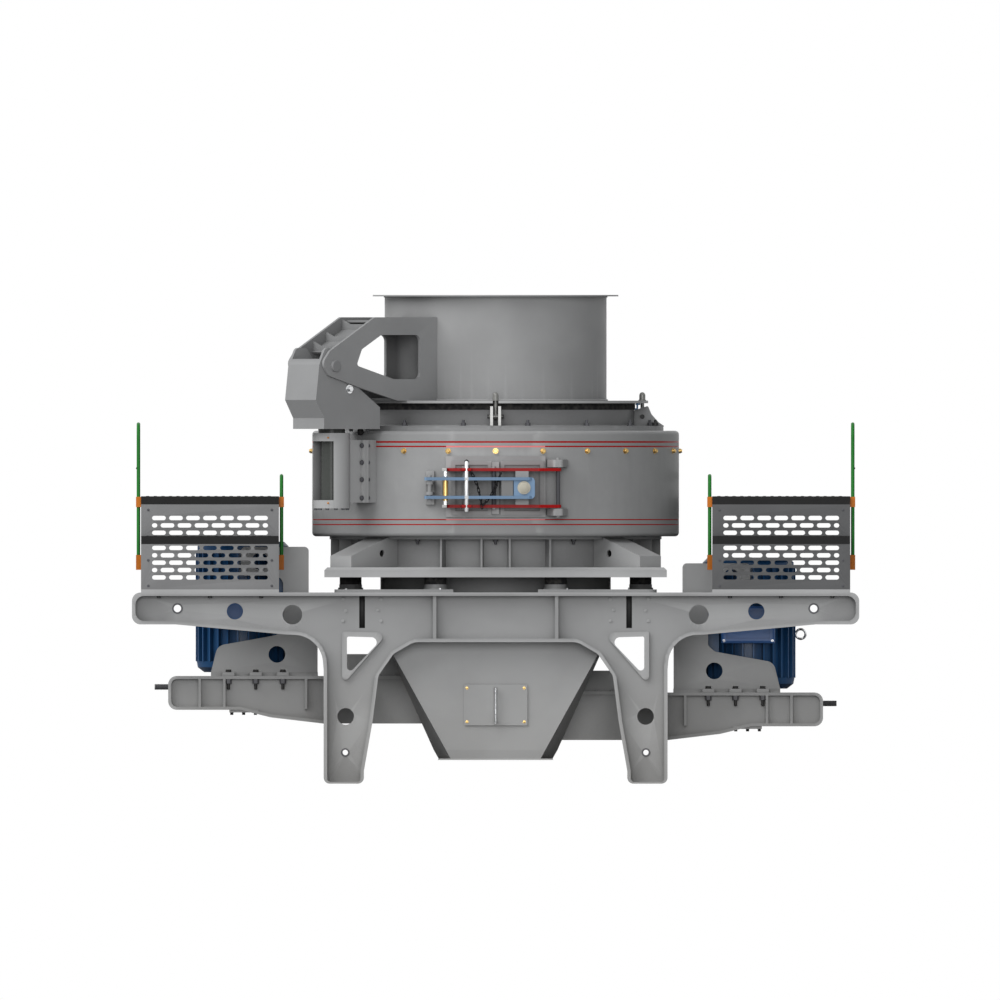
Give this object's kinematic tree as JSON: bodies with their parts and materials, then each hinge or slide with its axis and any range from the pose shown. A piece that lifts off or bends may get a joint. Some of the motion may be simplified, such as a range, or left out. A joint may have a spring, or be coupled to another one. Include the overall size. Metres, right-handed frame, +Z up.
{
  "type": "impact crusher",
  "caption": "Vertical-shaft impact crusher: drum with inspection door on rubber mounts, feed tube, lid-lifting arm, belt drives and stepped platforms.",
  "frame": {"origin": "centre of the four foundation bolt holes, on the floor under the drum's axis", "axes": "+Z up, -Y towards the inspection door, +X towards the lower drive"},
  "size_m": [4.982, 2.748, 3.348],
  "materials": {
    "grey_steel": "satin mid-grey paint",
    "bare_steel": "wear-polished iron",
    "bright_steel": "bright plated steel",
    "motor_blue": "dark blue enamel",
    "box_blue": "blue enamel",
    "black_rubber": "matt black",
    "brass": "satin brass",
    "red_paint": "satin red",
    "blue_grey_paint": "satin blue-grey",
    "green_paint": "satin green",
    "orange_paint": "satin orange",
    "black_tread": "matt black chequered tread"
  },
  "bodies": {
    "crusher": {"arm_head": "grey_steel", "bearing_cartridge": "bare_steel", "belt_guard_left": "grey_steel", "belt_guard_right": "grey_steel", "catch_bracket": "grey_steel", "chute_covers": "grey_steel", "column_bracket": "grey_steel", "column_housing": "grey_steel", "corner_arms": "grey_steel", "corner_pads": "grey_steel", "cross_beams": "grey_steel", "discharge_chute_back": "grey_steel", "discharge_chute_front": "grey_steel", "doorway_panels": "grey_steel", "drum_floor": "bare_steel", "drum_studs": "brass", "drum_top": "bare_steel", "drum_wall_back": "grey_steel", "drum_wall_left": "grey_steel", "drum_wall_right": "grey_steel", "feed_cone": "bare_steel", "feed_tube": "grey_steel", "guard_rails_left": "green_paint", "guard_rails_right": "green_paint", "hinge_bracket": "grey_steel", "lid_arm": "grey_steel", "lid_plate": "grey_steel", "lower_risers": "grey_steel", "lower_skirt": "grey_steel", "motor_bracket_left": "grey_steel", "motor_bracket_right": "grey_steel", "motor_left": "motor_blue", "motor_right": "motor_blue", "motor_seat_left": "grey_steel", "motor_seat_right": "grey_steel", "mount_cups": "grey_steel", "pivot_and_jack": "bright_steel", "rail_sockets": "orange_paint", "rotor": "bare_steel", "rubber_mounts": "black_rubber", "seal_band": "black_rubber", "side_frame_back": "grey_steel", "side_frame_front": "grey_steel", "step_deck_left": "black_tread", "step_deck_right": "black_tread", "step_sides_left": "grey_steel", "step_sides_right": "grey_steel", "step_strips": "grey_steel", "step_treads": "black_tread", "support_platform": "grey_steel", "support_ring": "grey_steel", "swing_bolts": "bright_steel", "swivel_shaft": "bright_steel", "terminal_boxes": "box_blue", "upper_ring": "grey_steel", "upper_risers": "grey_steel"},
    "door": {"door_leaf": "grey_steel", "door_arms": "red_paint", "door_lever": "blue_grey_paint"}
  },
  "joints": [
    {"name": "door_hinge", "type": "hinge", "parent": "crusher", "child": "door", "pos_m": [0.428, -1.312, 2.02], "axis": [0, 0, 1], "range_deg": [0, 110]}
  ]
}
